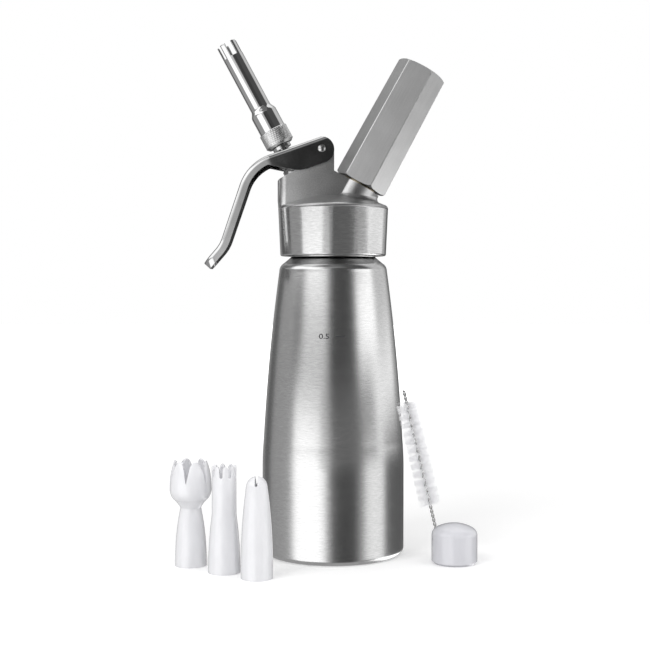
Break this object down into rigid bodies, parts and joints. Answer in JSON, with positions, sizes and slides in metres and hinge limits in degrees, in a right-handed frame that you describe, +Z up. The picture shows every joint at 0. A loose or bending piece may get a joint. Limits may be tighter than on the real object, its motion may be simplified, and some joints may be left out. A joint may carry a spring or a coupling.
{
  "type": "whipped cream dispenser",
  "caption": "Steel cream whipper with a screw-on valve head, a press lever, a slotted nozzle and a hexagonal charger holder, with spare tips, a port cap and a cleaning brush.",
  "frame": {"origin": "middle of the bottle's foot, on the surface it stands on", "axes": "+Z up along the bottle; the nozzle and the lever reach to -X and the charger holder to +X; the spare pieces stand towards -Y"},
  "size_m": [0.1635, 0.1096, 0.2836],
  "materials": {
    "bottle_steel": "horizontally brushed stainless steel",
    "head_aluminium": "fine-grained cast aluminium, collar turned",
    "holder_aluminium": "matte anodised aluminium",
    "lever_steel": "polished pressed steel",
    "nozzle_steel": "polished drawn steel",
    "valve_steel": "turned steel",
    "spring_steel": "bright spring wire",
    "nut_steel": "knurled and plated",
    "brass_metal": "turned brass",
    "seal_rubber": "matte moulded rubber",
    "seal_silicone": "pale silicone",
    "tip_plastic": "white gloss plastic",
    "cap_plastic": "pale grey gloss plastic",
    "liner_plastic": "dark matte plastic",
    "wire_steel": "twisted steel wire",
    "bristle_nylon": "white nylon bristles"
  },
  "bodies": {
    "bottle": {"bottle": "bottle_steel"},
    "head_slide": {"head_gasket": "seal_silicone"},
    "head": {"head_casting": "head_aluminium", "lever_pin": "valve_steel", "valve_gland": "valve_steel", "stem_o_ring": "seal_rubber", "valve_spring": "spring_steel", "port_stud": "brass_metal", "pin_seal": "seal_rubber", "piercing_pin": "valve_steel", "non_return_seal": "seal_rubber"},
    "lever": {"lever": "lever_steel"},
    "valve": {"valve_stem": "valve_steel", "valve_seat_gasket": "seal_rubber", "press_collar": "valve_steel", "stem_adapter": "valve_steel"},
    "nozzle_slide": {"nozzle_washer": "seal_silicone"},
    "nozzle": {"nozzle": "nozzle_steel", "knurled_nut": "nut_steel"},
    "holder_slide": {"charger_liner": "liner_plastic"},
    "holder": {"charger_holder": "holder_aluminium"},
    "tulip_tip": {"tulip_tip": "tip_plastic"},
    "star_tip": {"star_tip": "tip_plastic"},
    "plain_tip": {"plain_tip": "tip_plastic"},
    "port_cap": {"port_cap": "cap_plastic"},
    "brush": {"brush_wire": "wire_steel", "brush_bristles": "bristle_nylon"}
  },
  "joints": [
    {"name": "head_lift", "type": "slide", "parent": "bottle", "child": "head_slide", "axis": [0, 0, 1], "range_m": [0, 0.08]},
    {"name": "head_unscrew", "type": "hinge", "parent": "head_slide", "child": "head", "pos_m": [0, 0, 0.1735], "axis": [0, 0, 1], "continuous": true},
    {"name": "lever_press", "type": "hinge", "parent": "head", "child": "lever", "pos_m": [-0.0063, 0, 0.2225], "axis": [0, -1, 0], "range_deg": [0, 9], "stiffness_Nm_per_rad": 0.8, "springref_deg": -14.32},
    {"name": "valve_press", "type": "slide", "parent": "head", "child": "valve", "axis": [0.4741, 0, -0.8805], "range_m": [0, 0.00271], "deforming": ["valve_spring"]},
    {"name": "nozzle_lift", "type": "slide", "parent": "valve", "child": "nozzle_slide", "axis": [-0.4741, 0, 0.8805], "range_m": [0, 0.03]},
    {"name": "nozzle_unscrew", "type": "hinge", "parent": "nozzle_slide", "child": "nozzle", "pos_m": [-0.03096, 0, 0.22929], "axis": [-0.4741, 0, 0.8805], "continuous": true},
    {"name": "holder_lift", "type": "slide", "parent": "head", "child": "holder_slide", "axis": [0.4787, 0, 0.878], "range_m": [0, 0.085]},
    {"name": "holder_unscrew", "type": "hinge", "parent": "holder_slide", "child": "holder", "pos_m": [0.01669, 0, 0.20759], "axis": [0.4787, 0, 0.878], "continuous": true},
    {"name": "tulip_lift", "type": "slide", "parent": "bottle", "child": "tulip_tip", "axis": [0, 0, 1], "range_m": [0, 0.06]},
    {"name": "star_lift", "type": "slide", "parent": "bottle", "child": "star_tip", "axis": [0, 0, 1], "range_m": [0, 0.06]},
    {"name": "plain_lift", "type": "slide", "parent": "bottle", "child": "plain_tip", "axis": [0, 0, 1], "range_m": [0, 0.06]},
    {"name": "cap_lift", "type": "slide", "parent": "bottle", "child": "port_cap", "axis": [0, 0, 1], "range_m": [0, 0.04]},
    {"name": "brush_lift", "type": "slide", "parent": "bottle", "child": "brush", "axis": [0, 0, 1], "range_m": [0, 0.06]}
  ],
  "couplings": [
    {"joint": "valve_press", "follows": "lever_press", "m_per_rad": 0.0166}
  ]
}
